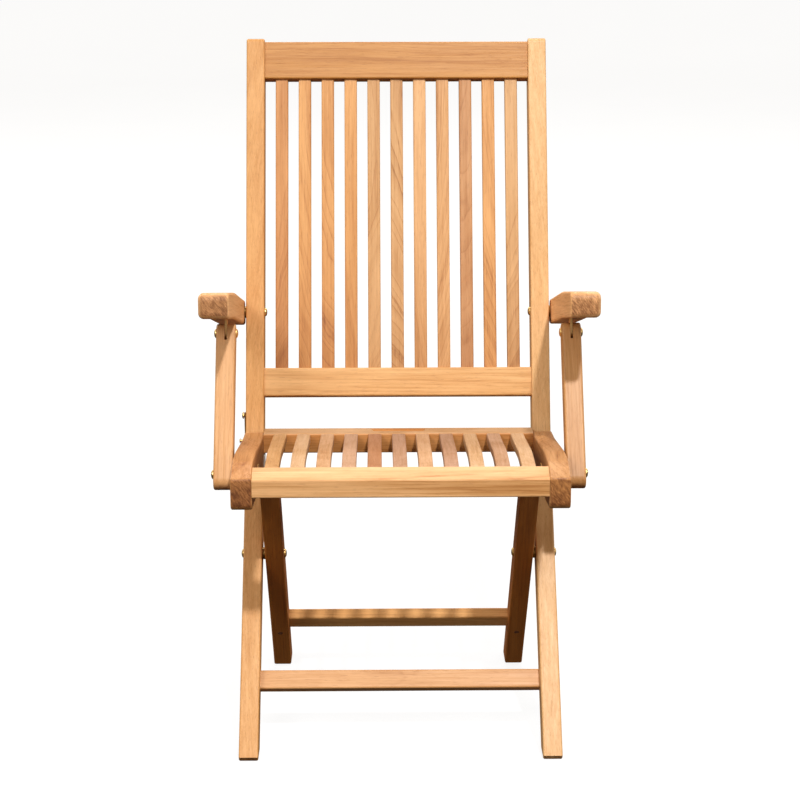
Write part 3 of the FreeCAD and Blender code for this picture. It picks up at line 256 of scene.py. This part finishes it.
    height = t.math("ADD", t.math("MULTIPLY", streak, 0.5), t.math("MULTIPLY", rings, -0.20))
    height = t.math("SUBTRACT", height, t.math("MULTIPLY", pore, 0.40))
    bump = t.new("ShaderNodeBump")
    bump.inputs["Strength"].default_value = 0.30
    bump.inputs["Distance"].default_value = 0.0006
    t.link(height, bump.inputs["Height"])
    t.link(bump.outputs[0], t.bsdf.inputs["Normal"])
    return t.mat


def brass(name, base=(1.0, 0.70, 0.28), dull=(0.36, 0.18, 0.05), amount=0.36, gloss=(0.26, 0.44)):
    """Brass that has dulled outdoors: brown film in patches, brighter where it is rubbed. gloss: roughness of the bare
    and of the filmed metal."""
    t = Tree(name)
    co = t.new("ShaderNodeTexCoord")
    obj = co.outputs["Object"]
    a = t.noise(obj, 160.0, 4.0, 0.6)
    b = t.noise(obj, 900.0, 3.0, 0.6)
    film = t.range(t.math("ADD", t.math("MULTIPLY", a, 0.7), t.math("MULTIPLY", b, 0.3)), 0.36, 0.66, 0.0, 1.0)
    col = t.mix(t.math("MULTIPLY", film, amount), base, dull)
    t.link(col, t.bsdf.inputs["Base Color"])
    t.bsdf.inputs["Metallic"].default_value = 1.0
    t.link(t.range(film, 0.0, 1.0, *gloss), t.bsdf.inputs["Roughness"])
    bump = t.new("ShaderNodeBump")
    bump.inputs["Strength"].default_value = 0.12
    bump.inputs["Distance"].default_value = 0.0003
    t.link(b, bump.inputs["Height"])
    t.link(bump.outputs[0], t.bsdf.inputs["Normal"])
    return t.mat


def paint(node, mat):
    """The CAD node keeps its mesh and takes this material."""
    ob = nodes[node]
    ob.data.materials.clear()
    ob.data.materials.append(mat)


X = (1.0, 0.0, 0.0)
STILE = (0.0, (LOW[0] + HIGH[0]) / 2, (LOW[1] + HIGH[1]) / 2)
BACK = (0.0, HIGH[0], HIGH[1])
LEG = (0.0, REAR[0], REAR[1])
SEAT = (0.0, -1.0, 0.09)
ARM = (0.0, -1.0, 0.24)
POST = (0.0, 111.1, 181.6)

SEAT_SLATS = [(STRAW, 0.7), (SAND, 0.4), (LINEN, 0.6), (TAN, 0.4), (RUSSET, 0.6), (ROSE, 0.5), (LINEN, 0.6), (ROSE, 0.8), (SAND, 0.5),
              (TAN, 0.8), (SAND, 0.7)]
BACK_SLATS = [(AMBER, 0.9), (GOLD, 1.0), (GOLD, 1.2), (GOLD, 0.5), (STRAW, 0.8), (STRAW, 1.5), (HONEY, 0.5), (HONEY, 1.0), (CLAY, 0.7),
              (GOLD, 1.2), (STRAW, 1.0)]
NOSE = (0.86, 0.80, 0.74)
paint("front_leg_stile_left", teak("teak_stile_left", STILE, 1.3, lin(204, 148, 88), 0.6, 0.4, 0.02))
# painted shade: the right stile darkens downwards below the seat
paint("front_leg_stile_right", teak("teak_stile_right", STILE, 4.7, lin(217, 170, 117), 0.55, 0.3, 0.02, painted_shade_low=(-0.60, 0.42)))
paint("top_back_rail", teak("teak_top_rail", X, 2.1, lin(187, 130, 67), 0.8, 0.6, 0.03))
paint("lower_back_rail", teak("teak_lower_rail", X, 7.9, lin(214, 164, 108), 0.9, 0.4, 0.02))
# painted shade: the back slats darken towards the lower back rail
paint("back_slats", teak("teak_back_slats", BACK, 3.3, GOLD, 0.9, 1.0, 0.06, 0.17, 1.00, BACK_SLATS, painted_shade_low=(0.50, 0.72)))
paint("front_leg_stretcher", teak("teak_front_stretcher", X, 8.8, lin(204, 150, 98), 0.7, 0.4, 0.02))
paint("rear_leg_left", teak("teak_rear_leg_left", LEG, 5.2, UMBER, 0.8, 0.6, 0.03))
paint("rear_leg_right", teak("teak_rear_leg_right", LEG, 6.6, UMBER, 0.8, 0.6, 0.03))
paint("rear_leg_stretcher", teak("teak_rear_stretcher", X, 9.4, lin(222, 166, 104), 0.9, 0.5, 0.03))
# painted shade: the seat rails' end grain darkens towards its bottom
paint("seat_rail_left", teak("teak_seat_rail_left", SEAT, 10.1, lin(191, 133, 80), 1.1, 1.0, 0.06, end=NOSE, painted_end_shade_low=(0.400, 0.440)))
paint("seat_rail_right", teak("teak_seat_rail_right", SEAT, 11.9, lin(190, 137, 88), 1.1, 1.0, 0.08, end=(1.08, 0.98, 0.76), painted_end_shade_low=(0.400, 0.440)))
paint("seat_front_rail", teak("teak_seat_front_rail", X, 12.4, lin(214, 162, 110), 1.25, 0.8, 0.02))
# painted shade: the rear rail's front face is darker and more orange
paint("seat_rear_rail", teak("teak_seat_rear_rail", X, 13.6, lin(199, 155, 112), 0.9, 0.6, 0.03,
                               painted_face_light=((0.0, -1.0, 0.0), (0.98, 0.75, 0.48))))
paint("seat_slats", teak("teak_seat_slats", SEAT, 14.2, TAN, 0.8, 0.7, 0.05, slats=SEAT_SLATS))
# painted light on the arms' inner sides; painted shade at the bottom of their end grain
paint("arm_left", teak("teak_arm_left", ARM, 15.5, lin(217, 163, 112), 0.9, 0.6, 0.04, end=(0.84, 0.78, 0.72), painted_end_shade_low=(0.638, 0.672),
                       painted_face_light=((1.0, 0.0, 0.0), (1.10, 1.17, 1.26))))
paint("arm_right", teak("teak_arm_right", ARM, 16.3, lin(226, 173, 122), 0.9, 0.6, 0.04, end=(0.96, 0.90, 0.82), painted_end_shade_low=(0.638, 0.672),
                        painted_face_light=((-1.0, 0.0, 0.0), (1.15, 1.18, 1.22))))
paint("arm_post_left", teak("teak_post_left", POST, 17.7, lin(206, 154, 103), 0.7, 0.4, 0.03))
paint("arm_post_right", teak("teak_post_right", POST, 18.9, lin(187, 135, 83), 1.0, 0.6, 0.05))
paint("rear_leg_plugs", teak("teak_plugs", (0.0, HIGH[1], HIGH[0]), 19.0, RUSSET, 0.6, 0.3, 0.02, end=(0.60, 0.52, 0.46)))

BRASS = brass("brass_fittings")
BRASS_DARK = brass("brass_washers", (0.50, 0.29, 0.10), (0.12, 0.06, 0.02), 0.75)
BRASS_PLATE = brass("brass_plates", (1.0, 0.71, 0.33), (0.66, 0.42, 0.17), 0.40, (0.46, 0.54))
STEEL = brass("heel_plate_metal", (0.55, 0.52, 0.47), (0.34, 0.31, 0.27), 0.5, (0.40, 0.50))
for n in ("cross_pivot_bolts", "arm_pivot_bolts", "seat_hinge_pins", "hinge_plate_screws", "latch_screw", "seat_rest_pins",
          "notch_plate_screws", "heel_plate_screws", "post_foot_screws", "latch_stud", "post_head_bolt_left", "post_head_bolt_right"):
    paint(n, BRASS)
for n in ("cross_pivot_washers", "arm_pivot_spacers", "post_foot_washers", "latch_hook"):
    paint(n, BRASS_DARK)
for n in ("seat_hinge_plate_left", "seat_hinge_plate_right", "notch_plate_left", "notch_plate_right", "arm_tongue_left", "arm_tongue_right"):
    paint(n, BRASS_PLATE)
for n in ("heel_plate_left", "heel_plate_right"):
    paint(n, STEEL)

# ------------------------------------------------------------------ floor, light, camera
def floor():
    me = bpy.data.meshes.new("studio_floor")
    bm = bmesh.new()
    # a round floor that curves up into a wall far away on every side
    prof = [(0.5, -0.0004), (4.0, -0.0004), (10.0, 0.0)]
    for i in range(1, 13):
        a = math.radians(90.0 * i / 12)
        prof.append((10.0 + 2.0 * math.sin(a), 2.0 - 2.0 * math.cos(a)))
    prof.append((12.0, 12.0))
    turns = 72
    rings = [[bm.verts.new((r * math.cos(math.tau * k / turns), r * math.sin(math.tau * k / turns), z)) for k in range(turns)] for r, z in prof]
    bm.faces.new(rings[0])
    for lo, hi in zip(rings, rings[1:]):
        for k in range(turns):
            j = (k + 1) % turns
            bm.faces.new((lo[k], hi[k], hi[j], lo[j]))
    bmesh.ops.recalc_face_normals(bm, faces=bm.faces)
    bm.to_mesh(me)
    bm.free()
    for p in me.polygons:
        p.use_smooth = True
    ob = bpy.data.objects.new("studio_floor", me)
    bpy.context.scene.collection.objects.link(ob)
    t = Tree("studio_floor")
    co = t.new("ShaderNodeTexCoord")
    n = t.noise(co.outputs["Object"], 3.0, 3.0, 0.5)
    t.link(t.mix(n, (0.15, 0.15, 0.15), (0.17, 0.17, 0.17)), t.bsdf.inputs["Base Color"])
    t.bsdf.inputs["Roughness"].default_value = 1.0
    t.bsdf.inputs["Specular IOR Level"].default_value = 0.0
    t.bsdf.inputs["Emission Color"].default_value = (1.0, 1.0, 1.0, 1.0)
    t.bsdf.inputs["Emission Strength"].default_value = 0.86
    me.materials.append(t.mat)
    # the sweep glows by itself and doesn't throw light back up under the seat
    ob.visible_diffuse = False
    ob.visible_glossy = False
    ob.visible_shadow = False
    return ob


floor()


def area(name, azimuth, elevation, dist, size, factor, color=(1, 1, 1), aim=(0.0, 0.0, 0.45)):
    """Softbox: azimuth from straight in front towards +X, elevation above the horizon, factor: brightness of a white
    card that faces it."""
    li = bpy.data.lights.new(name, "AREA")
    li.shape = "RECTANGLE"
    li.size, li.size_y = size
    li.energy = factor * math.pi ** 2 * dist ** 2
    li.color = color
    ob = bpy.data.objects.new(name, li)
    bpy.context.scene.collection.objects.link(ob)
    az, el = math.radians(azimuth), math.radians(elevation)
    d = Vector((math.sin(az) * math.cos(el), -math.cos(az) * math.cos(el), math.sin(el)))
    ob.location = Vector(aim) + d * dist
    ob.rotation_euler = (-d).to_track_quat("-Z", "Y").to_euler()
    return ob


area("key_light", 14.0, 50.0, 8.0, (0.34, 0.34), 0.72, (1.0, 0.985, 0.96))
area("second_light", -30.0, 36.0, 8.0, (2.2, 2.2), 0.33, (1.0, 0.99, 0.975))
area("left_fill", -78.0, 18.0, 7.0, (3.0, 2.4), 0.07, (1.0, 0.985, 0.96))
area("right_fill", 78.0, 18.0, 7.0, (3.0, 2.4), 0.17, (1.0, 0.985, 0.96))
area("rim_light", 176.0, 52.0, 7.0, (3.0, 1.6), 0.30)
area("back_left_fill", -138.0, 24.0, 7.0, (2.6, 2.4), 0.17, (1.0, 0.985, 0.96))
area("back_right_fill", 138.0, 24.0, 7.0, (2.6, 2.4), 0.17, (1.0, 0.985, 0.96))
world = bpy.data.worlds.new("studio")
bpy.context.scene.world = world
world.use_nodes = True
wt = world.node_tree
bg = wt.nodes["Background"]
wc = wt.nodes.new("ShaderNodeTexCoord")
ws = wt.nodes.new("ShaderNodeSeparateXYZ")
wr = wt.nodes.new("ShaderNodeMapRange")
wt.links.new(wc.outputs["Generated"], ws.inputs[0])
wt.links.new(ws.outputs[2], wr.inputs[0])
for i, x in enumerate((-0.20, 0.20, 0.05, 0.52)):
    wr.inputs[i + 1].default_value = x
bg.inputs[0].default_value = (1.0, 0.90, 0.77, 1.0)
wt.links.new(wr.outputs[0], bg.inputs[1])
view = bpy.context.scene.view_settings
view.view_transform = "Standard"
view.look = "None"
view.exposure = 0.0
view.gamma = 1.0

CAM = (-0.0291, -2.8944, 1.2180)
YAW, TILT, ROLL, FPX = math.radians(0.620), math.radians(14.498), math.radians(-0.088), 1996.2
cam = bpy.data.cameras.new("camera")
cam.sensor_fit = "HORIZONTAL"
cam.sensor_width = 36.0
cam.lens = 36.0 * FPX / 800.0
cam.dof.use_dof = False
cam_ob = bpy.data.objects.new("camera", cam)
bpy.context.scene.collection.objects.link(cam_ob)
fwd = Vector((math.sin(YAW) * math.cos(TILT), math.cos(YAW) * math.cos(TILT), -math.sin(TILT)))
right = Vector((math.cos(YAW), -math.sin(YAW), 0.0))
up = right.cross(fwd)
r2 = right * math.cos(ROLL) + up * math.sin(ROLL)
u2 = -right * math.sin(ROLL) + up * math.cos(ROLL)
m = Matrix((r2, u2, -fwd)).transposed().to_4x4()
m.translation = Vector(CAM) + Vector((0.0, 0.0, LIFT))
cam_ob.matrix_world = m
bpy.context.scene.camera = cam_ob
